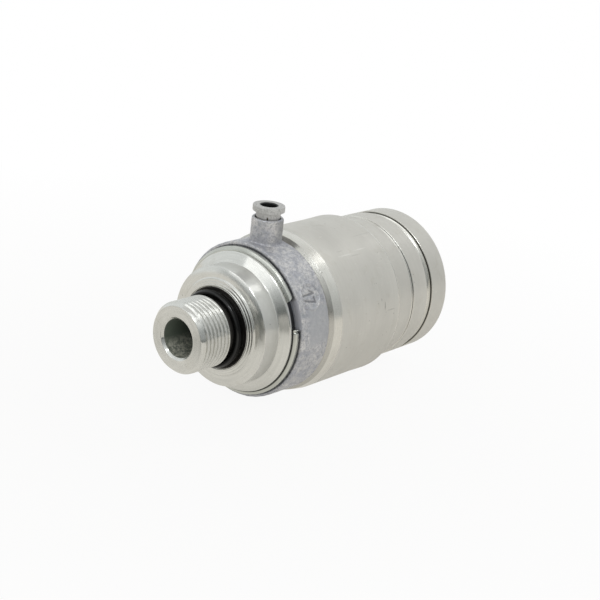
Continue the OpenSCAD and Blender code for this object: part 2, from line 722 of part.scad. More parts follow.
module valve_poppet() {
    nose_x = seat_x + 1;
    nose_pin_r = nose_pin_d / 2;
    tip_x = seat_x + nose_pin_l;
    boss_r = valve_spring_d / 2 - valve_wire / 2 - 0.25;
    color(steel) difference() {
        turned_profile([
            [guide_x - 4, 0], [guide_x - 4, stem_r - 0.4], [guide_x - 3.6, stem_r],
            [head_back_x - 2.2, stem_r], [head_back_x - 2.2, boss_r - 0.3], [head_back_x - 1.9, boss_r],
            [head_back_x, boss_r], [head_back_x, head_r - 0.2], [head_back_x + 0.2, head_r],
            [head_line - head_r, head_r], [nose_x, head_line - nose_x], [nose_x + 0.4, nose_pin_r],
            [tip_x - 0.6, nose_pin_r], [tip_x, nose_pin_r - 0.6], [tip_x, 0]
        ]);
        round_ring(poppet_seal_x, poppet_seal_r, poppet_seal_w);
    }
}

module poppet_seal() {
    color(rubber) round_ring(poppet_seal_x, poppet_seal_r, poppet_seal_w);
}

port_adapter();
stud_o_ring();
retaining_ring();
drain_seal_front();
drain_seal_rear();
drain_ring();
drain_collet();
drain_grip_ring();
drain_tube_seal();
housing();
housing_seal();
end_sleeve();
wiper_seal();
front_snap_ring();
lock_ring();
carrier_tail_seal();
carrier_backup_ring();
rear_spring();
front_spring();
socket_carrier();
lock_balls();
probe_seal();
probe_backup_ring();
valve_guide();
guide_snap_ring();
valve_spring();
valve_poppet();
poppet_seal();
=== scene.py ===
import math

import bmesh
import bpy
import numpy as np
from mathutils import Matrix, Vector


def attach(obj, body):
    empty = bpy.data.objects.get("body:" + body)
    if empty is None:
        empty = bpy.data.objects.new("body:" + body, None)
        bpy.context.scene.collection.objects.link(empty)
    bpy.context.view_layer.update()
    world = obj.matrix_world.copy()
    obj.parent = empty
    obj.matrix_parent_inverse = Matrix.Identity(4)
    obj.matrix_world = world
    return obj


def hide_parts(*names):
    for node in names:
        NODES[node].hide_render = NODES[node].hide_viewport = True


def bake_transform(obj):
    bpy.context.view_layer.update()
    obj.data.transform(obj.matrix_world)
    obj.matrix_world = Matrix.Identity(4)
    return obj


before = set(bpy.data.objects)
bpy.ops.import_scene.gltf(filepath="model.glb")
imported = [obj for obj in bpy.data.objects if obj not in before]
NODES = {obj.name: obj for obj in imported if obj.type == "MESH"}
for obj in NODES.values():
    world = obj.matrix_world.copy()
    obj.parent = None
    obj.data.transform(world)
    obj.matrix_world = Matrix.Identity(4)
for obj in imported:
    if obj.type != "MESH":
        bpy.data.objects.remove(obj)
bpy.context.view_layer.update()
MM = 0.001
scene = bpy.context.scene

# ---------------------------------------------------------------- sizes

# In millimetres. _X is a place along the coupler's axis, _R a radius about it.
STUD_END_X = -16.2
STUD_R = 11.0
THREAD_PITCH = 1.5
THREAD_DEPTH = 0.57
THREAD_FOOT_X = -4.98
BORE_R = 5.85
RELIEF_R = 9.75
HUB_R = 18.65
FLANGE_R = 21.92
FLANGE_END_X = 9.97
NECK_R = 21.65
NECK_END_X = 25.33
SPIGOT_X = 19.25
CAST_R = 24.45
HOUSING_X = 25.35
HOUSING_R = 25.9
HOUSING_BORE_R = 19.4
SHOULDER_X = 58.7
HOUSING_END_X = 78.7
SLEEVE_X = 68.5
SLEEVE_R = 24.3
SLEEVE_INNER_R = 17.6
SLEEVE_END_X = 87.3
GROOVE_X = 77.35
GROOVE_HALF_WIDTH = 1.5
GROOVE_DEPTH = 1.75
GROOVE_WALL_X = 79.0

# ---------------------------------------------------------------- camera

CAMERA_AT = Vector((-287.332, -257.781, 146.793)) * MM
CAMERA_RIGHT = Vector((0.64493, -0.75657, 0.10804))
CAMERA_UP = Vector((0.18691, 0.29322, 0.93759))
CAMERA_BACK = -Vector((0.74103, 0.58449, -0.33052))
FOCAL_MM = 82.26
SENSOR_MM = 36.0

camera_data = bpy.data.cameras.new("camera")
camera_data.sensor_width = SENSOR_MM
camera_data.lens = FOCAL_MM
camera_data.clip_start = 0.01
camera = bpy.data.objects.new("camera", camera_data)
scene.collection.objects.link(camera)
turn = Matrix((CAMERA_RIGHT, CAMERA_UP, CAMERA_BACK)).transposed().to_4x4()
camera.matrix_world = Matrix.Translation(CAMERA_AT) @ turn
scene.camera = camera
scene.view_settings.view_transform = "Standard"


# ---------------------------------------------------------------- node helpers

class Nodes:
    """Short calls that add and link shader nodes."""

    def __init__(self, tree):
        self.tree = tree
        self.links = tree.links
        tree.nodes.clear()

    def add(self, kind, **values):
        made = self.tree.nodes.new(kind)
        for name, value in values.items():
            setattr(made, name, value)
        return made

    def put(self, socket, value):
        """Links another node's output to the socket, or sets a plain value on it."""
        if isinstance(value, bpy.types.NodeSocket):
            self.links.new(value, socket)
        elif value is not None:
            socket.default_value = value

    def coords(self, kind):
        return self.add("ShaderNodeTexCoord").outputs[kind]

    def split(self, vector):
        made = self.add("ShaderNodeSeparateXYZ")
        self.put(made.inputs[0], vector)
        return made.outputs

    def combine(self, x, y, z):
        made = self.add("ShaderNodeCombineXYZ")
        for socket, value in zip(made.inputs, (x, y, z)):
            self.put(socket, value)
        return made.outputs[0]

    def math(self, operation, a, b=None, clamp=False):
        made = self.add("ShaderNodeMath", operation=operation, use_clamp=clamp)
        self.put(made.inputs[0], a)
        self.put(made.inputs[1], b)
        return made.outputs[0]

    def times(self, first, *others):
        """The product of all its values."""
        for other in others:
            first = self.math("MULTIPLY", first, other)
        return first

    def length(self, a, b):
        return self.math("SQRT", self.math("ADD", self.times(a, a), self.times(b, b)))

    def noise(self, vector, scale, detail=3.0, rough=0.55, distortion=0.0):
        made = self.add("ShaderNodeTexNoise")
        self.put(made.inputs["Vector"], vector)
        made.inputs["Scale"].default_value = scale
        made.inputs["Detail"].default_value = detail
        made.inputs["Roughness"].default_value = rough
        made.inputs["Distortion"].default_value = distortion
        return made.outputs["Fac"]

    def spots(self, vector, scale):
        """The distance to the nearest of many scattered points."""
        made = self.add("ShaderNodeTexVoronoi", feature="F1")
        self.put(made.inputs["Vector"], vector)
        made.inputs["Scale"].default_value = scale
        return made.outputs["Distance"]

    def remap(self, value, low, high, to_low=0.0, to_high=1.0):
        made = self.add("ShaderNodeMapRange", clamp=True)
        self.put(made.inputs["Value"], value)
        made.inputs["From Min"].default_value = low
        made.inputs["From Max"].default_value = high
        made.inputs["To Min"].default_value = to_low
        made.inputs["To Max"].default_value = to_high
        return made.outputs["Result"]

    def fall(self, value, low, high):
        """1 below low, 0 above high."""
        return self.remap(value, low, high, 1.0, 0.0)

    def band(self, value, rise, full, fall, end):
        """Rises from 0 to 1 between rise and full, and falls back to 0 between fall and end."""
        return self.times(self.remap(value, rise, full), self.fall(value, fall, end))

    def mix(self, factor, a, b):
        made = self.add("ShaderNodeMix", data_type="RGBA", blend_type="MIX")
        self.put(made.inputs["Factor"], factor)
        for socket, value in ((made.inputs["A"], a), (made.inputs["B"], b)):
            if isinstance(value, tuple):
                value = (*value, 1.0)
            self.put(socket, value)
        return made.outputs["Result"]

    def bump(self, height, distance, strength):
        made = self.add("ShaderNodeBump")
        made.inputs["Strength"].default_value = strength
        made.inputs["Distance"].default_value = distance
        self.put(made.inputs["Height"], height)
        return made.outputs["Normal"]

    def principled(self, color, rough, normal, metallic):
        made = self.add("ShaderNodeBsdfPrincipled")
        self.put(made.inputs["Base Color"], color)
        self.put(made.inputs["Roughness"], rough)
        self.put(made.inputs["Normal"], normal)
        self.put(made.inputs["Metallic"], metallic)
        return made

    def mix_shaders(self, factor, a, b):
        made = self.add("ShaderNodeMixShader")
        for socket, value in zip(made.inputs, (factor, a, b)):
            self.put(socket, value)
        return made.outputs[0]

    def surface(self, shader, kind="ShaderNodeOutputMaterial"):
        self.links.new(shader, self.add(kind).inputs["Surface"])


def new_material(name):
    made = bpy.data.materials.new(name)
    made.use_nodes = True
    return made, Nodes(made.node_tree)


class Place:
    """The shaded point in millimetres, its distance r from the coupler's axis and its angle."""

    def __init__(self, n):
        scaled = n.add("ShaderNodeVectorMath", operation="SCALE")
        n.put(scaled.inputs[0], n.coords("Object"))
        scaled.inputs["Scale"].default_value = 1 / MM
        self.point = scaled.outputs[0]
        self.x, self.y, self.z = n.split(self.point)
        self.r = n.length(self.y, self.z)
        self.angle = n.math("ARCTAN2", self.y, self.z)


def unrolled(n, at, along, round_it, depth=None):
    """The turned surface laid flat and stretched, for streaks along or round the axis."""
    return n.combine(n.times(at.x, along), n.times(at.angle, round_it),
                     at.r if depth is None else depth)


# ---------------------------------------------------------------- materials

def shade(color, red, green=None, blue=None):
    factors = (red, red if green is None else green, red if blue is None else blue)
    return tuple(min(1.0, c * f) for c, f in zip(color, factors))


def adapter_tones(n, at, color, smooth_part):
    """Dull bore painted dark as shade with painted light on its low side, and painted shade in the
    places that the rings fill.
    """
    # painted shade in the bore, dark all round, with painted light in patches on its low side,
    # which faces up
    bore = n.times(n.fall(at.r, BORE_R + 0.15, BORE_R + 0.35),
                   n.band(at.x, STUD_END_X + 0.6, STUD_END_X + 0.9, 8.5, 9.0))
    low_side = n.remap(n.math("COSINE", n.math("SUBTRACT", at.angle, 2.75)), 0.62, 0.95)
    light_patches = n.remap(n.noise(at.point, 0.9, 4.0, 0.75), 0.42, 0.60, 0.15, 1.0)
    bore_shade_tone, bore_lit_tone = (0.135, 0.162, 0.130), (0.72, 0.72, 0.62)
    color = n.mix(bore, color, n.mix(n.times(low_side, light_patches), bore_shade_tone, bore_lit_tone))
    # painted shade behind the rubber ring: the relief after the thread and the recess in the hub's
    # face, darkest nearest the axis
    relief = n.times(n.band(at.x, -4.95, -4.85, 1.2, 1.3),
                     n.fall(at.r, STUD_R - 0.15, STUD_R - 0.05))
    recess = n.times(n.band(at.r, 10.9, 11.0, 12.55, 12.75), n.band(at.x, -0.3, -0.2, 1.2, 1.3))
    shut_in = n.math("MAXIMUM", relief, recess)
    recess_shade_tone = n.mix(n.remap(at.r, 11.6, 12.5), (0.030, 0.026, 0.022), (0.17, 0.155, 0.14))
    color = n.mix(n.times(shut_in, 0.93), color, recess_shade_tone)
    # painted shade in the snap ring's groove, darkest in the slit and lighter on its rear wall
    groove = n.times(n.band(at.x, FLANGE_END_X - 0.04, FLANGE_END_X, 12.1, 12.3),
                     n.fall(at.r, FLANGE_R - 0.06, FLANGE_R - 0.02))
    rear_wall = n.remap(at.x, 11.72, 11.78)
    color = n.mix(n.times(groove, 0.85), color,
                  n.mix(rear_wall, (0.045, 0.045, 0.05), (0.30, 0.31, 0.35)))
    behind_thread = n.remap(at.x, -5.0, -4.9, 0.85, 1.0)
    smooth_part = n.times(smooth_part, behind_thread, n.math("SUBTRACT", 1.0, bore),
                          n.math("SUBTRACT", 1.0, n.times(shut_in, 0.8)))
    return bore, color, smooth_part


def turned_metal(name, base, satin, gloss, share, lines, patch, aniso, seed, dirt=0.35, matt=0.0,
                 faces=0.92, marks=(), gap_shades=(), adapter=False):
    """Turned and plated steel in two layers, with fine lines round the axis, patches and specks.

    satin and gloss are the layers' roughness, aniso their stretch round the axis. share is how
    much is glossy on cylinders, faces the same on cones and end faces. matt takes some of the
    bare metal off cylinders. lines, patch and dirt are the strengths of the patterns."""
    material, n = new_material(name)
    at = Place(n)
    slope = n.math("ABSOLUTE", n.split(n.coords("Normal"))[0])
    section = n.combine(at.x, at.r, seed)
    fine = n.noise(section, 9.0, 2.0, 0.6)
    coarse = n.noise(section, 2.2, 3.0, 0.55)
    patches = n.noise(unrolled(n, at, 0.11, 1.3, n.math("ADD", at.r, seed)), 1.0, 4.0, 0.6)
    grime = n.noise(at.point, 0.22, 5.0, 0.62, distortion=0.6)
    blotch = n.noise(unrolled(n, at, 1.4, 12.0), 0.42, 5.0, 0.68, distortion=1.0)
    scratch = n.remap(n.noise(unrolled(n, at, 0.5, 46.0), 0.9, 1.0, 0.5), 0.70, 0.74)
    speck = n.times(n.fall(n.spots(at.point, 0.42), 0.03, 0.10),
                    n.remap(n.noise(at.point, 0.07, 1.0), 0.52, 0.60))

    color = n.mix(n.remap(patches, 0.30, 0.72), shade(base, 1 - patch * 2.0),
                  shade(base, 1 + patch))
    for mask, tone in (
            (n.times(n.remap(coarse, 0.40, 0.72), 0.13 * lines), shade(base, 0.70)),
            (n.times(n.remap(fine, 0.35, 0.75), 0.14 * lines), shade(base, 0.62)),
            (n.times(n.remap(blotch, 0.54, 0.70), 0.22), shade(base, 0.80, 0.79, 0.78)),
            (n.times(n.remap(grime, 0.56, 0.80), dirt), shade(base, 0.70, 0.67, 0.60)),
            (n.times(scratch, 0.22), shade(base, 1.25)),
            (n.times(speck, 0.75), (0.09, 0.085, 0.08))):
        color = n.mix(mask, color, tone)
    # painted shade in narrow gaps between parts, such as the parting line and the slit at the snap
    # ring's front
    for low, high, top, amount in gap_shades:
        gap_shade = n.times(n.band(at.x, low, low + 0.04, high - 0.04, high),
                       n.fall(at.r, top - 0.12, top))
        color = n.mix(n.times(gap_shade, amount), color, (0.03, 0.03, 0.028))
    for mark_x, mark_angle, long, wide, amount, tone in marks:
        along = n.math("DIVIDE", n.math("SUBTRACT", at.x, mark_x), long)
        turned = n.math("SUBTRACT", at.angle, math.radians(mark_angle))
        away = n.length(along, n.math("DIVIDE", n.times(turned, at.r), wide))
        ragged = n.times(n.math("SUBTRACT", n.noise(at.point, 1.3, 3.0, 0.7), 0.5), 1.1)
        color = n.mix(n.remap(n.math("ADD", away, ragged), 0.35, 1.0, amount, 0.0), color, tone)

    smooth_part = n.remap(slope, 0.05, 0.14, share, faces)
    smooth_part = n.math("SUBTRACT", smooth_part, n.times(n.remap(blotch, 0.50, 0.72), 0.12),
                         clamp=True)
    metallic = n.remap(slope, 0.05, 0.14, 1.0 - matt, 1.0) if matt else 1.0
    if adapter:
        bore, color, smooth_part = adapter_tones(n, at, color, smooth_part)
        metallic = n.math("SUBTRACT", metallic, n.times(bore, 0.85), clamp=True)
    height = n.math("ADD", n.times(fine, 0.5 * lines), n.times(coarse, 0.5 * lines))
    height = n.math("SUBTRACT", height, n.times(scratch, 0.25))
    normal = n.bump(height, 0.03 * MM, 0.1 + 0.4 * lines)
    tangent = n.add("ShaderNodeTangent", direction_type="RADIAL", axis="X").outputs[0]
    layers = []
    for rough, stretch in zip((satin, gloss), aniso):
        rough = n.remap(coarse, 0.3, 0.7, rough * 0.88, rough * 1.12)
        shader = n.principled(color, rough, normal, metallic)
        n.put(shader.inputs["Tangent"], tangent)
        shader.inputs["Anisotropic"].default_value = stretch
        shader.inputs["Anisotropic Rotation"].default_value = 0.25
        layers.append(shader.outputs[0])
    n.surface(n.mix_shaders(smooth_part, *layers))
    return material


def cast_metal(name, base):
    """Die-cast zinc: mottled blue-grey skin with flow marks and small pits."""
    material, n = new_material(name)
    at = Place(n)
    cloud = n.noise(at.point, 0.30, 5.0, 0.60, distortion=0.9)
    mottle = n.noise(at.point, 0.95, 4.0, 0.72, distortion=0.5)
    grain = n.noise(at.point, 2.4, 3.0, 0.70)
    flow = n.noise(unrolled(n, at, 0.4, 10.0), 0.55, 3.0, 0.6, distortion=1.2)
    pit = n.times(n.fall(n.spots(at.point, 1.3), 0.10, 0.24),
                  n.remap(n.noise(at.point, 0.5, 2.0), 0.48, 0.58))
    # a darker stretch of skin below the numeral; the code changes only its colour
    edge = n.math("ADD", at.angle, n.times(n.math("SUBTRACT", cloud, 0.5), 0.25))
    stretch = n.times(n.band(at.x, 15.2, 15.8, 23.9, 24.3),
                      n.band(edge, -1.66, -1.60, -1.16, -1.12))
    # the shady corner at the spigot's foot
    foot = n.times(n.fall(n.length(n.math("SUBTRACT", at.x, SPIGOT_X), at.y), 5.0, 7.4),
                   n.fall(at.z, 24.0, 27.0), n.remap(mottle, 0.35, 0.60, 0.25, 1.0))
    # painted shade on the front rim behind the snap ring: a dark line beside the ring, and a
    # lighter shaded face in the snap ring's gap
    gap = n.band(at.angle, -1.42, -1.38, -1.02, -0.98)
    rim = n.math("SUBTRACT", n.math("ADD", 23.62, n.times(gap, 0.45)), at.r)
    rim = n.times(n.fall(at.x, 12.5, 12.7), n.remap(rim, -0.1, 0.1))
    rim_shade_tone = n.mix(gap, shade(base, 0.10, 0.108, 0.12), shade(base, 0.74, 0.76, 0.84))
    # the spigot's shady flank
    away = n.add("ShaderNodeVectorMath", operation="DOT_PRODUCT")
    n.put(away.inputs[0], n.coords("Normal"))
    away.inputs[1].default_value = (0.62, -0.77, 0.0)
    flank = n.times(n.remap(away.outputs["Value"], 0.35, 0.98), n.remap(at.z, 25.2, 26.2))
    # painted shade in the cut numeral
    numeral = n.times(n.band(at.r, 23.8, 23.9, 24.22, 24.36), n.band(at.x, 14.2, 14.4, 20.4, 20.6))

    color = n.mix(n.remap(cloud, 0.36, 0.66), shade(base, 0.69, 0.71, 0.78),
                  shade(base, 1.12, 1.105, 1.09))
    for mask, tone in (
            (n.times(n.remap(mottle, 0.48, 0.60), 0.62), shade(base, 0.54, 0.56, 0.63)),
            (n.times(n.remap(flow, 0.55, 0.72), 0.42), shade(base, 1.20, 1.19, 1.15)),
            (n.times(n.remap(grain, 0.53, 0.60), 0.50), shade(base, 0.36)),
            (n.times(pit, 0.50), (0.11, 0.11, 0.12)),
            (n.times(stretch, 0.75), shade(base, 0.72, 0.74, 0.78)),
            (n.times(foot, 0.75), shade(base, 0.42, 0.43, 0.49)),
            (n.times(rim, n.remap(mottle, 0.40, 0.60, 0.70, 0.95)), rim_shade_tone),
            (n.times(flank, 0.60), shade(base, 0.42, 0.42, 0.40)),
            (n.times(numeral, 0.55), (0.12, 0.125, 0.13))):
        color = n.mix(mask, color, tone)
    for spot_at, size in CAST_SPOTS:
        to_spot = n.add("ShaderNodeVectorMath", operation="DISTANCE")
        n.put(to_spot.inputs[0], at.point)
        to_spot.inputs[1].default_value = spot_at
        spot = n.remap(to_spot.outputs["Value"], size * 0.5, size, 0.9, 0.0)
        color = n.mix(spot, color, (0.02, 0.02, 0.02))
    height = n.math("ADD", n.times(mottle, 0.9), n.times(grain, 0.35))
    height = n.math("SUBTRACT", n.math("ADD", height, cloud), pit)
    roughness = n.remap(mottle, 0.3, 0.7, 0.44, 0.60)
    n.surface(n.principled(color, roughness, n.bump(height, 0.11 * MM, 0.75), 0.5).outputs[0])
    return material


def rubber(name):
    """Moulded black rubber with a faint bloom and lint, and a polished crest on the stud's ring."""
    material, n = new_material(name)
    at = Place(n)
    bloom = n.noise(at.point, 0.45, 4.0, 0.6)
    grain = n.noise(at.point, 7.0, 2.0, 0.6)
    lint = n.remap(n.noise(unrolled(n, at, 3.0, 9.0), 1.2, 2.0), 0.68, 0.74)
    crest = n.fall(n.math("ABSOLUTE", n.math("ADD", at.x, 2.45)), 0.10, 0.28)
    color = n.mix(n.remap(bloom, 0.35, 0.75), (0.003, 0.003, 0.003), (0.008, 0.008, 0.0075))
    color = n.mix(n.times(lint, 0.22), color, (0.07, 0.07, 0.066))
    roughness = n.math("SUBTRACT", n.remap(bloom, 0.3, 0.7, 0.12, 0.24), n.times(crest, 0.07))
    shader = n.principled(color, roughness, n.bump(grain, 0.02 * MM, 0.4), 0.0)
    n.put(shader.inputs["Specular IOR Level"], n.math("ADD", 0.09, n.times(crest, 0.28)))
    n.surface(shader.outputs[0])
    return material


def speckled_plastic(name, base, shaded_hole_r=0.0):
    """Satin moulded plastic with fine grey specks. Inside the radius given, an upright hole is
    painted dark as shade.
    """
    material, n = new_material(name)
    at = Place(n)
    cloud = n.noise(at.point, 0.6, 4.0, 0.6)
    grain = n.noise(at.point, 2.2, 3.0, 0.7)
    speck = n.fall(n.spots(at.point, 2.1), 0.08, 0.20)
    color = n.mix(n.remap(cloud, 0.3, 0.7), shade(base, 0.92), shade(base, 1.10))
    color = n.mix(n.times(n.remap(grain, 0.50, 0.60), 0.62), color, shade(base, 0.55))
    color = n.mix(n.times(speck, 0.30), color, (0.16, 0.16, 0.16))
    if shaded_hole_r:
        # painted shade: inside the upright hole the plastic is coloured near black
        from_middle = n.length(n.math("SUBTRACT", at.x, SPIGOT_X), at.y)
        color = n.mix(n.fall(from_middle, shaded_hole_r, shaded_hole_r + 0.12), color, (0.010, 0.010, 0.010))
    roughness = n.remap(cloud, 0.3, 0.7, 0.36, 0.50)
    n.surface(n.principled(color, roughness, n.bump(grain, 0.04 * MM, 0.5), 0.0).outputs[0])
    return material


def polished(name, base, rough):
    """Ground or drawn metal with faint scuffs."""
    material, n = new_material(name)
    at = Place(n)
    scuff = n.noise(at.point, 0.9, 5.0, 0.65, distortion=0.8)
    grain = n.noise(at.point, 6.0, 2.0)
    color = n.mix(n.remap(scuff, 0.35, 0.7), shade(base, 0.88), base)
    roughness = n.remap(scuff, 0.35, 0.75, rough * 0.7, rough * 1.5)
    n.surface(n.principled(color, roughness, n.bump(grain, 0.01 * MM, 0.4), 1.0).outputs[0])
    return material


# Dark spots at the cast ring's front edge: place, radius.
CAST_SPOTS = (
    ((11.7, -20.1, -11.8), 0.55), ((11.7, -15.6, -17.3), 0.5), ((11.75, 7.0, 22.6), 0.4),
)

# Scuffs and specks on housing and sleeve: x, angle, half length, half width, amount, tone.
BODY_MARKS = (
    (40.0, -37.0, 4.2, 0.35, 0.50, (0.80, 0.79, 0.76)),
    (47.5, -35.2, 3.6, 0.30, 0.55, (0.80, 0.79, 0.76)),
    (44.0, -38.8, 3.0, 0.25, 0.40, (0.40, 0.39, 0.36)),
    (54.0, -23.6, 7.0, 0.28, 0.30, (0.44, 0.43, 0.40)),
    (38.5, -33.0, 2.2, 0.25, 0.35, (0.42, 0.41, 0.38)),
    (50.8, -79.5, 0.30, 1.9, 0.75, (0.26, 0.25, 0.23)),
    (54.0, -83.2, 2.4, 0.28, 0.50, (0.34, 0.33, 0.30)),
    (49.2, -74.6, 0.25, 0.7, 0.60, (0.28, 0.27, 0.25)),
    (77.1, -98.5, 0.30, 0.35, 0.85, (0.08, 0.07, 0.06)),
    (77.5, -103.3, 0.25, 0.30, 0.80, (0.08, 0.07, 0.06)),
    (77.0, -111.9, 0.30, 0.30, 0.70, (0.10, 0.09, 0.08)),
)

# Painted shade in narrow gaps between parts: from x, to x, radius that they stay below, amount.
BODY_GAP_SHADES = (
    (67.99, 68.56, 24.14, 0.9), (78.72, 79.03, 24.10, 0.9), (24.5, 25.84, 25.36, 0.22),
)
SNAP_GAP_SHADES = ((10.08, 10.60, 22.40, 0.90),)

MAT = {
    "body": turned_metal(
        "plated_body", (0.650, 0.638, 0.596), satin=0.58, gloss=0.24, share=0.22, lines=0.25,
        patch=0.035, aniso=(0.25, 0.5), seed=1.0, matt=0.6, marks=BODY_MARKS, gap_shades=BODY_GAP_SHADES),
    "bright": turned_metal(
        "plated_bright", (0.650, 0.650, 0.622), satin=0.44, gloss=0.165, share=0.42, lines=0.35,
        patch=0.045, aniso=(0.82, 0.88), seed=4.0, matt=0.35, faces=0.89, adapter=True),
    "snap": turned_metal(
        "spring_bright", (0.56, 0.57, 0.53), satin=0.40, gloss=0.18, share=0.60, lines=0.9,
        patch=0.08, aniso=(0.5, 0.6), seed=13.0, dirt=0.5, gap_shades=SNAP_GAP_SHADES),
    "inner": turned_metal(
        "plated_inner", (0.47, 0.46, 0.43), satin=0.46, gloss=0.24, share=0.55, lines=1.0,
        patch=0.06, aniso=(0.5, 0.8), seed=17.0),
    "cast": cast_metal("die_cast", (0.625, 0.622, 0.622)),
    "rubber": rubber("black_rubber"),
    "collet": speckled_plastic("collet_plastic", (0.605, 0.605, 0.59), shaded_hole_r=2.80),
    "pale": speckled_plastic("backup_plastic", (0.62, 0.60, 0.54)),
    "balls": polished("ball_steel", (0.68, 0.68, 0.69), 0.10),
    "spring": polished("spring_wire", (0.40, 0.40, 0.41), 0.28),
    "brass": polished("brass", (0.62, 0.46, 0.20), 0.25),
}


def dress(mesh, material):
    mesh.materials.clear()
    mesh.materials.append(MAT[material])


# ---------------------------------------------------------------- mesh helpers

def rounded(points, steps=4):
    """A closed outline from (x, r) or (x, r, fillet) corners: a fillet becomes a short curve."""
    out = []
    count = len(points)
    for i, corner in enumerate(points):
        here = np.array(corner[:2], float)
        fillet = corner[2] if len(corner) > 2 else 0.0
        if fillet <= 0:
            out.append(tuple(here))
            continue
        before = np.array(points[i - 1][:2], float) - here
        after = np.array(points[(i + 1) % count][:2], float) - here
        la, lb = np.linalg.norm(before), np.linalg.norm(after)
        cut = min(fillet, la * 0.48, lb * 0.48)
        a, b = here + before / la * cut, here + after / lb * cut
        for k in range(steps + 1):
            t = k / steps
            out.append(tuple((1 - t) ** 2 * a + 2 * t * (1 - t) * here + t * t * b))
    return out


def held(points):
    """Adds points near both ends of long straight runs, which keeps smooth shading there."""
    near, least = 0.1, 0.7
    out = []
    for i, here in enumerate(points):
        after = points[(i + 1) % len(points)]
        out.append(here)
        run = math.dist(here, after)
        if run > least:
            for t in (near / run, 1 - near / run):
                out.append((here[0] + (after[0] - here[0]) * t,
                            here[1] + (after[1] - here[1]) * t))
    return out


def finish_mesh(name, verts, faces, material, body, node, sharp):
    """Makes the piece that rides on body and stands for the CAD node. sharp is in degrees."""
    mesh = bpy.data.meshes.new(name)
    mesh.from_pydata([tuple(v * MM for v in p) for p in verts], [], faces)
    mesh.validate()
    work = bmesh.new()
    work.from_mesh(mesh)
    bmesh.ops.recalc_face_normals(work, faces=work.faces)
    work.to_mesh(mesh)
    work.free()
    mesh.polygons.foreach_set("use_smooth", [True] * len(mesh.polygons))
    mesh.set_sharp_from_angle(angle=math.radians(sharp))
    mesh.materials.append(MAT[material])
    made = bpy.data.objects.new(name, mesh)
    scene.collection.objects.link(made)
    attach(made, body)
    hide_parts(node)
    return made


def grid_faces(rows, columns, close_rows=True):
    """Faces of a grid whose columns close on themselves, and its rows too unless told not to."""
    faces = []
    for i in range(rows if close_rows else rows - 1):
        for c in range(columns):
            d, b = (c + 1) % columns, (i + 1) % rows
            faces.append((i * columns + c, i * columns + d, b * columns + d, b * columns + c))
    return faces


def circle(parts):
    return np.arange(parts) * 2 * math.pi / parts


def lathe(name, outline, material, node, segments=224, shape=None, sharp=32.0, arc=None):
    """Turns a closed (x, r) outline about X into a piece of the coupler's body.

    shape(x, r, angle) may change all three. arc=(start, end) in degrees leaves an open ring."""
    outline = held(outline)
    xs = np.array([p[0] for p in outline])
    rs = np.array([p[1] for p in outline])
    angles = np.linspace(*np.radians(arc), segments) if arc else circle(segments)
    verts = []
    for a in angles:
        x, r, turned = shape(xs, rs, a) if shape else (xs, rs, a)
        verts += list(zip(x, r * np.sin(turned), r * np.cos(turned)))
    count = len(outline)
    faces = grid_faces(segments, count, close_rows=not arc)
    if arc:
        faces.append(tuple(range(count)))
        faces.append(tuple((segments - 1) * count + k for k in reversed(range(count))))
    return finish_mesh(name, verts, faces, material, "coupler_body", node, sharp)


# ---------------------------------------------------------------- port adapter

def adapter_shape(x, r, angle):
    """Cuts the right-handed thread between the stud's end and its foot."""
    turns = (x + angle / (2 * math.pi) * THREAD_PITCH) / THREAD_PITCH
    from_crest = np.abs(turns % 1.0 - 0.5) * 2
    depth = THREAD_DEPTH * np.clip((from_crest - 0.50) / (0.88 - 0.50), 0, 1)
    on_thread = (x > STUD_END_X + 0.05) & (x < -4.9) & (r > 9.0)
    return x, np.where(on_thread, np.minimum(r, STUD_R - depth), r), angle


front = rounded([
    (-15.45, BORE_R, 0.12), (STUD_END_X, 6.6, 0.1), (STUD_END_X, 9.9, 0.12), (-14.75, STUD_R, 0.15)
])
thread_columns = [(x, STUD_R) for x in np.arange(-14.6, -5.02, 0.085)]
# the three ridges of the seat, each 0.286 mm further back than the one inside it
ridges = []
for i, r0 in enumerate((12.85, 13.60, 14.35)):
    top = i * 0.286
    ridges += [(top, r0 + 0.12, 0.08), (top, r0 + 0.477, 0.08),
               (top + 0.28, r0 + 0.58, 0.04), (top + 0.28, r0 + 0.68, 0.04)]
hub = rounded([
    # thread's foot, relief and recess
    (THREAD_FOOT_X, STUD_R, 0.03), (-4.90, 10.8, 0.05), (-4.30, RELIEF_R, 0.15),
    (0.85, RELIEF_R, 0.1), (1.00, 11.45, 0.1), (0.62, 11.95), (0.33, 12.35),
    (0.10, 12.75, 0.05), (0.22, 12.86, 0.05),
    *ridges,
    # domed face, cone and flange
    (1.12, 15.30, 0.08), (1.15, 15.9), (1.20, 16.4), (1.29, 16.9), (1.42, 17.4), (1.59, 17.9),
    (1.77, 18.35), (1.84, 18.52, 0.02), (1.98, HUB_R, 0.02),
    (7.85, HUB_R, 0.18), (9.22, 21.72, 0.06), (9.42, FLANGE_R, 0.06),
    # snap ring's groove, neck with its waist, inner end
    (FLANGE_END_X, FLANGE_R, 0.05), (FLANGE_END_X, 20.4, 0.05), (11.80, 20.4, 0.05),
    (11.80, NECK_R, 0.08), (17.25, NECK_R, 0.1), (17.25, 20.9, 0.1), (21.25, 20.9, 0.1),
    (21.25, NECK_R, 0.1), (NECK_END_X, NECK_R, 0.1), (NECK_END_X, 20.0, 0.1), (33.1, 20.0, 0.1),
    (33.7, 19.4, 0.1), (33.7, 13.5, 0.1), (33.2, 13.0, 0.1),
    # flow chamber
    (29.5, 13.0, 0.05), (29.5, 14.8, 0.05), (26.3, 14.8, 0.05), (26.3, 13.0, 0.05),
    (8.8, 13.0, 0.3), (8.8, 10.0, 0.2), (6.8, 10.0, 0.3), (2.8, BORE_R, 0.3)
], 3)
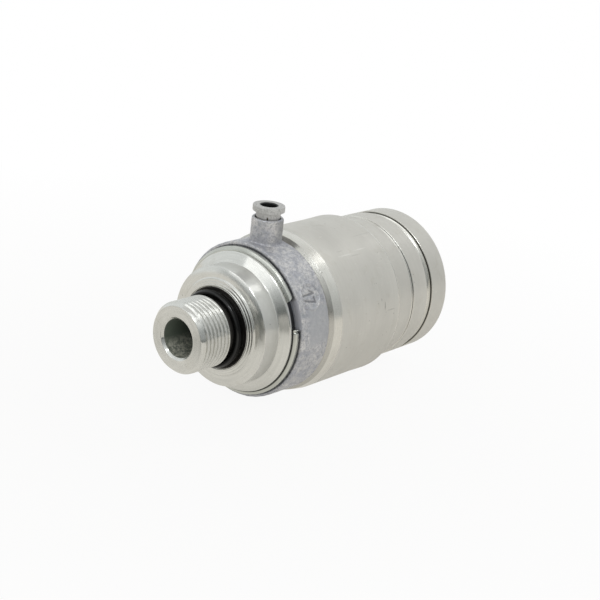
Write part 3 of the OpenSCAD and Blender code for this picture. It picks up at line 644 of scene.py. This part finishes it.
lathe("adapter_turned", front + thread_columns + hub, "bright", "port_adapter",
      segments=256, shape=adapter_shape, sharp=24)

RING_X, RING_R, RING_THICK, RING_SIDES = -1.62, 10.85, 2.36, 36
stud_ring = [(RING_X + RING_THICK / 2 * math.cos(t), RING_R + RING_THICK / 2 * math.sin(t))
             for t in circle(RING_SIDES)]
lathe("stud_ring", stud_ring, "rubber", "stud_o_ring")

# ---------------------------------------------------------------- snap ring

SNAP_START, SNAP_END = -57.4, 280.8
snap = rounded([
    (10.02, 20.5, 0.1), (10.02, 22.1, 0.1), (10.38, 23.05, 0.12), (10.62, 23.22, 0.1),
    (11.58, 23.22, 0.08), (11.66, 23.1, 0.06), (11.66, 20.5, 0.1)
])


def snap_shape(x, r, angle):
    """The upper end is cut on a slant, the lower one has a burr behind a nick. The ring leans."""
    degrees = math.degrees(angle)
    outer = r > 22.5
    burr = max(0.0, 1 - abs(degrees - (SNAP_END - 0.5)) / 0.9)
    nick = max(0.0, 1 - abs(degrees - (SNAP_END - 2.3)) / 0.8)
    slant = max(0.0, 1 - (degrees - SNAP_START) / 6.0)
    turned = angle + math.radians(2.6) * slant * (x - 10.15) / 1.51
    x = x + 0.12 * min(max((degrees - 90) / 150, 0.0), 1.0)
    return x - 0.25 * burr * outer, r + (0.36 * burr - 0.42 * nick) * outer, turned


lathe("snap_ring", snap, "snap", "retaining_ring", segments=720, shape=snap_shape,
      arc=(SNAP_START, SNAP_END))

# ---------------------------------------------------------------- housing and end sleeve

housing = rounded([
    # front rim and bright edge
    (HOUSING_X, 20.6, 0.1), (HOUSING_X, 23.2, 0.05), (24.66, 23.3, 0.05), (24.66, 23.85, 0.08),
    (25.80, 25.31, 0.10), (29.35, HOUSING_R, 0.5),
    # large cylinder, shoulder, smaller cylinder
    (51.7, HOUSING_R, 1.5), (58.05, 26.1, 0.3), (SHOULDER_X, 25.75, 0.25), (SHOULDER_X, 24.3, 0.3),
    (59.1, 24.15, 0.2),
    # lip at the parting line, tail inside the sleeve
    (67.48, 24.12, 0.03), (67.72, 24.30, 0.04), (67.95, 24.28, 0.04), (68.03, 24.10, 0.04),
    (68.1, 21.6, 0.1), (78.1, 21.6, 0.1), (HOUSING_END_X, 21.0, 0.1),
    # bore and seal groove
    (HOUSING_END_X, HOUSING_BORE_R, 0.1), (34.2, HOUSING_BORE_R, 0.1), (34.2, 20.02, 0.05),
    (26.75, 20.02, 0.05), (26.75, 21.25, 0.05), (25.45, 21.25, 0.1)
])
lathe("housing_turned", housing, "body", "housing", segments=256)

groove = [(GROOVE_X + math.sin(t) * GROOVE_HALF_WIDTH, SLEEVE_R - math.cos(t) * GROOVE_DEPTH)
          for t in np.radians(np.arange(-90, 71, 8))]
groove += rounded([
    (78.77, 23.66), (78.78, 23.0, 0.05), (GROOVE_WALL_X, 23.0, 0.05), (GROOVE_WALL_X, 24.2, 0.03),
    (79.1, SLEEVE_R, 0.03)
])
sleeve = (
    rounded([(68.12, 21.66, 0.1), (SLEEVE_X, 21.9, 0.05), (SLEEVE_X, 24.10, 0.03),
             (68.75, SLEEVE_R, 0.05)])
    + groove
    + rounded([
        (86.95, SLEEVE_R, 0.25), (SLEEVE_END_X, 23.95, 0.2), (SLEEVE_END_X, 18.4, 0.15),
        (86.5, SLEEVE_INNER_R, 0.1), (84.5, SLEEVE_INNER_R, 0.05), (84.5, 18.6, 0.05),
        (83.2, 18.6, 0.05), (83.2, SLEEVE_INNER_R, 0.05), (80.1, SLEEVE_INNER_R, 0.05),
        (80.1, 15.0, 0.1), (78.9, 15.0, 0.1), (78.9, 21.66, 0.05)
    ])
)
lathe("sleeve_turned", sleeve, "body", "end_sleeve", segments=256)

# ---------------------------------------------------------------- cast drain ring

MARK_X, MARK_ANGLE = 17.87, -58.1
MARK_RING_R, MARK_RING_WIDTH, MARK_RING_HEIGHT, MARK_RING_PARTS = 3.95, 0.55, 0.42, 36
DIGIT_DEPTH, DIGIT_HALF_WIDTH = 0.32, 0.42
DIGITS = (((-2.7, 0.6), (2.0, 0.75)), ((0.5, 1.8), (1.9, 0.8)),
          ((-2.6, -0.95), (1.8, -2.0)), ((1.8, -2.0), (1.5, -0.4)))
CAST_VOXEL = 0.21
# Casting burrs and chips at the front edge: x, angle, size, height.
BURRS = ((12.15, 17.4, 0.50, 0.34), (12.2, 12.6, 0.40, 0.24), (12.1, -121.0, 0.45, -0.30),
         (12.1, -138.2, 0.50, -0.35), (12.2, -19.0, 0.60, -0.20))


def copy_of(node, name):
    made = bpy.data.objects.new(name, NODES[node].data.copy())
    scene.collection.objects.link(made)
    return made


def apply_modifiers(made):
    depsgraph = bpy.context.evaluated_depsgraph_get()
    mesh = bpy.data.meshes.new_from_object(made.evaluated_get(depsgraph))
    made.modifiers.clear()
    made.data = mesh


def raised_bars(strokes, wide, high):
    """Short bars where the cast mark is. A stroke is a pair of (along X, round the ring) points."""
    verts, faces = [], []
    for (u0, v0), (u1, v1) in strokes:
        run = math.hypot(u1 - u0, v1 - v0)
        du, dv = (u1 - u0) / run, (v1 - v0) / run
        base = len(verts)
        for h, half in ((-0.3, wide * 0.62), (high, wide * 0.38)):
            for along, side in ((-0.5, -1), (-0.5, 1), (0.5, 1), (0.5, -1)):
                u = (u0 + u1) / 2 + du * along * (run + wide * 0.5) - dv * side * half
                v = (v0 + v1) / 2 + dv * along * (run + wide * 0.5) + du * side * half
                angle = math.radians(MARK_ANGLE) + v / CAST_R
                r = CAST_R + h
                at = (MARK_X + u, r * math.sin(angle), r * math.cos(angle))
                verts.append(tuple(c * MM for c in at))
        for face in ((0, 1, 2, 3), (7, 6, 5, 4), (0, 4, 5, 1), (1, 5, 6, 2), (2, 6, 7, 3),
                     (3, 7, 4, 0)):
            faces.append(tuple(base + k for k in face))
    return verts, faces


def add_to(made, verts, faces):
    work = bmesh.new()
    work.from_mesh(made.data)
    added = [work.verts.new(v) for v in verts]
    for face in faces:
        work.faces.new([added[k] for k in face])
    work.to_mesh(made.data)
    work.free()


def reshape_cast(mesh):
    """Sets both rims back a little, cuts the numeral, adds burrs and a faintly uneven skin."""
    at = np.empty(len(mesh.vertices) * 3)
    mesh.vertices.foreach_get("co", at)
    at = at.reshape(-1, 3) / MM
    x, r, angle = at[:, 0], np.hypot(at[:, 1], at[:, 2]), np.arctan2(at[:, 1], at[:, 2])
    front_rim = (x < 13.25) & (r > 21.5)
    x = np.where(front_rim, 13.25 - (13.25 - x) * 0.80, x)
    back_rim = (x > 23.6) & (x < 25.6) & (r > 23.05) & (r < 25.2)
    x = np.where(back_rim, 23.6 + (x - 23.6) * 0.56, x)
    corner = (x < 12.75) & (r > 23.55) & (r < 24.7)
    x = np.where(corner, 12.08 + (x - 12.08) * np.clip((x - 12.08) / 0.67, 0, 1) ** 0.6, x)
    r = np.where(corner, 24.42 - (24.42 - r) * np.clip((24.42 - r) / 0.87, 0, 1) ** 0.9, r)
    u = x - MARK_X
    v = (angle - math.radians(MARK_ANGLE)) * CAST_R
    lift = np.zeros(len(x))
    for (u0, v0), (u1, v1) in DIGITS:
        du, dv = u1 - u0, v1 - v0
        t = np.clip(((u - u0) * du + (v - v0) * dv) / (du * du + dv * dv), 0, 1)
        away = np.hypot(u - u0 - du * t, v - v0 - dv * t)
        cut = DIGIT_DEPTH * np.clip(1.25 - away / DIGIT_HALF_WIDTH, 0, 1)
        lift = np.minimum(lift, -cut)
    on_outside = (r > 24.2) & (np.abs(u) < 4)
    lift = np.where(on_outside, lift, 0.0)
    for burr_x, burr_angle, size, high in BURRS:
        away = np.hypot(x - burr_x, (angle - math.radians(burr_angle)) * r)
        lift = lift + np.where(r > 22.8, high * np.clip(1.4 - away / size, 0, 1), 0.0)
    r = r + lift
    uneven = np.sin(x * 2.9 + 3 * np.sin(angle * 7)) * np.sin(angle * 31 + 2 * np.sin(x * 0.9))
    r = np.where((r > 24.0) & (r < 30.0), r + 0.035 * uneven, r)
    at = np.stack([x, r * np.sin(angle), r * np.cos(angle)], 1) * MM
    mesh.vertices.foreach_set("co", at.ravel())
    mesh.update()


cast = copy_of("drain_ring", "drain_ring_cast")
mark_circle = [(MARK_RING_R * math.cos(t), MARK_RING_R * math.sin(t))
               for t in circle(MARK_RING_PARTS)]
add_to(cast, *raised_bars(zip(mark_circle, mark_circle[1:] + mark_circle[:1]), MARK_RING_WIDTH,
                          MARK_RING_HEIGHT))
remesh = cast.modifiers.new("skin", "REMESH")
remesh.mode = "VOXEL"
remesh.voxel_size = CAST_VOXEL * MM
smooth = cast.modifiers.new("soften", "SMOOTH")
smooth.factor = 0.5
smooth.iterations = 2
apply_modifiers(cast)
reshape_cast(cast.data)
cast.data.polygons.foreach_set("use_smooth", [True] * len(cast.data.polygons))
dress(cast.data, "cast")
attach(cast, "drain_swivel")
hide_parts("drain_ring")

# ---------------------------------------------------------------- release collet

COLLET_BORE_R = 2.55
COLLET_SLOT_WIDTH = 0.4
COLLET_SLOT_TOP_Z = 32.75
foot_node = NODES["drain_collet"]
foot_z = min((foot_node.matrix_world @ v.co).z for v in foot_node.data.vertices) / MM
# (r, z) corners: barbed foot, barrel, flared neck, flange
collet = held(rounded([
    (COLLET_BORE_R, foot_z), (3.48, foot_z, 0.1), (3.78, foot_z + 0.35, 0.1),
    (3.78, foot_z + 0.7, 0.1), (3.4, foot_z + 1.1, 0.1), (3.4, 31.95, 0.05),
    (3.70, 32.10, 0.05), (3.76, 32.6), (3.86, 33.2), (4.02, 33.75, 0.1),
    (4.10, 33.95, 0.05), (4.80, 33.95, 0.08), (4.95, 34.10, 0.08), (4.95, 35.55, 0.10),
    (4.84, 35.78, 0.08), (2.86, 35.78, 0.08), (COLLET_BORE_R, 35.50, 0.08)
]))
COLLET_SEGMENTS = 96
verts = [(SPIGOT_X + r * math.cos(a), r * math.sin(a), z)
         for a in circle(COLLET_SEGMENTS) for r, z in collet]
release = finish_mesh("collet_moulded", verts, grid_faces(COLLET_SEGMENTS, len(collet)), "collet",
                      "release_collet", "drain_collet", sharp=40)

# two crossing slots from the foot up
slots = bmesh.new()
slot_size = Matrix.Diagonal(
    (14 * MM, COLLET_SLOT_WIDTH * MM, (COLLET_SLOT_TOP_Z - foot_z + 1) * MM, 1))
slot_at = Vector((SPIGOT_X, 0, (foot_z - 1 + COLLET_SLOT_TOP_Z) / 2)) * MM
for turned in (38, 128):
    turning = Matrix.Rotation(math.radians(turned), 4, "Z")
    bmesh.ops.create_cube(slots, size=1.0, matrix=Matrix.Translation(slot_at) @ turning @ slot_size)
slot_mesh = bpy.data.meshes.new("collet_slots")
slots.to_mesh(slot_mesh)
slots.free()
cutter = bpy.data.objects.new("collet_slots", slot_mesh)
scene.collection.objects.link(cutter)
cut = release.modifiers.new("slots", "BOOLEAN")
cut.operation = "DIFFERENCE"
cut.solver = "EXACT"
cut.use_self = True
cut.object = cutter
apply_modifiers(release)
bpy.data.objects.remove(cutter)

# ---------------------------------------------------------------- CAD nodes that stay

STAY = {
    "brass": ("drain_grip_ring",),
    "rubber": ("drain_tube_seal", "drain_seal_front", "drain_seal_rear", "housing_seal",
               "wiper_seal", "carrier_tail_seal", "probe_seal", "poppet_seal"),
    "snap": ("front_snap_ring", "guide_snap_ring"),
    "inner": ("lock_ring", "socket_carrier", "valve_guide"),
    "pale": ("carrier_backup_ring", "probe_backup_ring"),
    "balls": ("lock_balls",),
    "bright": ("valve_poppet",),
}
for material, nodes in STAY.items():
    for node in nodes:
        dress(NODES[node].data, material)

# ---------------------------------------------------------------- springs

# Each coil is a copy of the CAD spring that stands between two bodies, baked where it stands.
for node, name, fixed, moving in (
        ("rear_spring", "rear_coil", "coupler_body", "carrier"),
        ("front_spring", "front_coil", "carrier", "coupler_body"),
        ("valve_spring", "valve_coil", "carrier", "valve")):
    coil = copy_of(node, name)
    coil.data.transform(NODES[node].matrix_world)
    dress(coil.data, "spring")
    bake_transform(coil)
    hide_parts(node)

# ---------------------------------------------------------------- floor and curtain

FLOOR_Z = -0.0262
FLOOR_SIZE = 8.0
CURTAIN_R = 1.2
CURTAIN_H = 1.8
CURTAIN_SIDES = 96
WHITE = (1.0, 1.0, 1.0)
# Darker stretches of the curtain: towards which angle in radians, the cosine off it where the
# dark starts and where it is full, the heights where it starts to lighten and is bright again,
# and its lowest level.
CURTAIN_DARK = (
    (-0.65, 0.72, 0.985, 0.10, 1.10, 0.52),
    (-2.05, 0.82, 0.96, 0.60, 1.50, 0.45),
    (-2.75, 0.35, 0.75, 0.02, 0.40, 0.08),
)


def floor_look():
    """A plain pale floor, white to the camera, with a shadow under the coupler. In reflections it
    is darker in front of the stud and a little under the body."""
    material, n = new_material("pale_floor")
    rays = n.add("ShaderNodeLightPath").outputs
    to_camera, glossy = rays["Is Camera Ray"], rays["Is Glossy Ray"]
    at = n.coords("Object")
    x, y, _ = n.split(at)
    pale = n.mix(n.remap(n.noise(at, 60.0), 0.3, 0.7), (0.88, 0.872, 0.85), (0.90, 0.892, 0.87))
    diffuse = n.add("ShaderNodeBsdfDiffuse")
    n.put(diffuse.inputs["Color"], n.mix(to_camera, (0.79, 0.78, 0.745), pale))
    beyond = n.times(n.fall(x, -0.14, -0.090), n.band(y, -0.10, -0.02, 0.060, 0.10))
    close = n.times(n.fall(x, -0.09, -0.05), n.band(y, -0.035, -0.012, 0.030, 0.050))
    dark = n.math("MAXIMUM", beyond, n.times(close, 0.85))
    under = n.times(n.band(x, -0.015, 0.015, 0.09, 0.12),
                    n.fall(n.math("ABSOLUTE", y), 0.022, 0.065))
    reflected = n.mix(under, n.mix(dark, (1.0, 0.975, 0.915), (0.06, 0.072, 0.062)),
                      (0.86, 0.84, 0.79))
    glow = n.add("ShaderNodeEmission")
    n.put(glow.inputs["Color"], n.mix(to_camera, reflected, WHITE))
    spread = n.add("ShaderNodeVectorMath", operation="LENGTH")
    n.put(spread.inputs[0], at)
    seen = n.times(to_camera, n.remap(spread.outputs["Value"], 0.05, 0.28, 0.92, 1.0))
    share = n.math("MAXIMUM", seen, n.times(glossy, 0.82))
    n.surface(n.mix_shaders(share, diffuse.outputs[0], glow.outputs[0]))
    return material


def curtain_look():
    """Bright, with dark stretches low round the table."""
    material, n = new_material("curtain")
    x, y, z = n.split(n.coords("Object"))
    round_it = n.math("ARCTAN2", y, x)
    gleam = 1.0
    for towards, start, full, low, high, darkest in CURTAIN_DARK:
        facing = n.math("COSINE", n.math("SUBTRACT", round_it, towards))
        part = n.math("MAXIMUM", n.fall(facing, start, full), n.remap(z, low, high, darkest, 1.0))
        gleam = n.math("MINIMUM", gleam, part)
    glow = n.add("ShaderNodeEmission")
    n.put(glow.inputs["Color"], n.mix(gleam, (0.0, 0.012, 0.010), (0.97, 1.0, 1.0)))
    n.surface(glow.outputs[0])
    return material


work = bmesh.new()
bmesh.ops.create_grid(work, x_segments=1, y_segments=1, size=FLOOR_SIZE / 2)
mesh = bpy.data.meshes.new("floor")
work.to_mesh(mesh)
work.free()
mesh.materials.append(floor_look())
floor = bpy.data.objects.new("floor", mesh)
floor.location = (0, 0, FLOOR_Z)
scene.collection.objects.link(floor)

# Only reflections see the curtain.
mesh = bpy.data.meshes.new("curtain")
mesh.from_pydata(
    [(CURTAIN_R * math.cos(a), CURTAIN_R * math.sin(a), z)
     for z in (FLOOR_Z, CURTAIN_H) for a in circle(CURTAIN_SIDES)],
    [],
    [(i, j, CURTAIN_SIDES + j, CURTAIN_SIDES + i)
     for i, j in ((i, (i + 1) % CURTAIN_SIDES) for i in range(CURTAIN_SIDES))])
mesh.materials.append(curtain_look())
curtain = bpy.data.objects.new("curtain", mesh)
scene.collection.objects.link(curtain)
curtain.visible_camera = False
curtain.visible_diffuse = False
curtain.visible_shadow = False
curtain.visible_transmission = False

# ---------------------------------------------------------------- lamps and world

MIDDLE = Vector((0.030, 0, 0))


def lamp(name, offset, width, height, watts, color=WHITE):
    """A soft lamp that looks at the middle of the coupler from offset."""
    data = bpy.data.lights.new(name, "AREA")
    data.shape = "RECTANGLE"
    data.size = width
    data.size_y = height
    data.energy = watts
    data.color = color
    made = bpy.data.objects.new(name, data)
    made.location = MIDDLE + Vector(offset)
    made.rotation_euler = (-Vector(offset)).to_track_quat("-Z", "Y").to_euler()
    scene.collection.objects.link(made)
    return made


for card in (
        lamp("overhead", (-0.20, -0.12, 1.0), 0.5, 0.5, 0.68, (0.94, 0.98, 1.0)),
        lamp("key", (-0.54625, -0.266, 0.76), 0.24, 0.16, 1.08, (0.95, 0.98, 1.0)),
        lamp("left_back", (-0.7885, 0.228, 0.475), 0.62, 0.40, 0.68)):
    card.visible_diffuse = False
lamp("softbox", (0.57, -0.1425, 0.684), 0.22, 0.16, 0.29, (1.0, 0.998, 0.99))
fill = lamp("fill", (-0.35, -0.90, 0.22), 0.7, 0.7, 1.42, (1.0, 0.995, 0.98))
fill.visible_glossy = False

world = bpy.data.worlds.new("studio")
scene.world = world
world.use_nodes = True
n = Nodes(world.node_tree)
rays = n.add("ShaderNodeLightPath").outputs
seen = n.math("ADD", rays["Is Camera Ray"], rays["Is Glossy Ray"])
seen = n.math("ADD", seen, rays["Is Transmission Ray"], clamp=True)
high = n.remap(n.split(n.coords("Generated"))[2], 0.50, 0.95)
lit = n.add("ShaderNodeBackground")
lit.inputs["Strength"].default_value = 0.68
n.put(lit.inputs["Color"], n.mix(high, (0.98, 0.985, 0.985), (0.72, 0.705, 0.675)))
shown = n.add("ShaderNodeBackground")
shown.inputs["Strength"].default_value = 1.0
sky = n.mix(high, (0.965, 0.99, 0.99), (0.78, 0.78, 0.77))
n.put(shown.inputs["Color"], n.mix(rays["Is Camera Ray"], sky, WHITE))
n.surface(n.mix_shaders(seen, lit.outputs[0], shown.outputs[0]), "ShaderNodeOutputWorld")
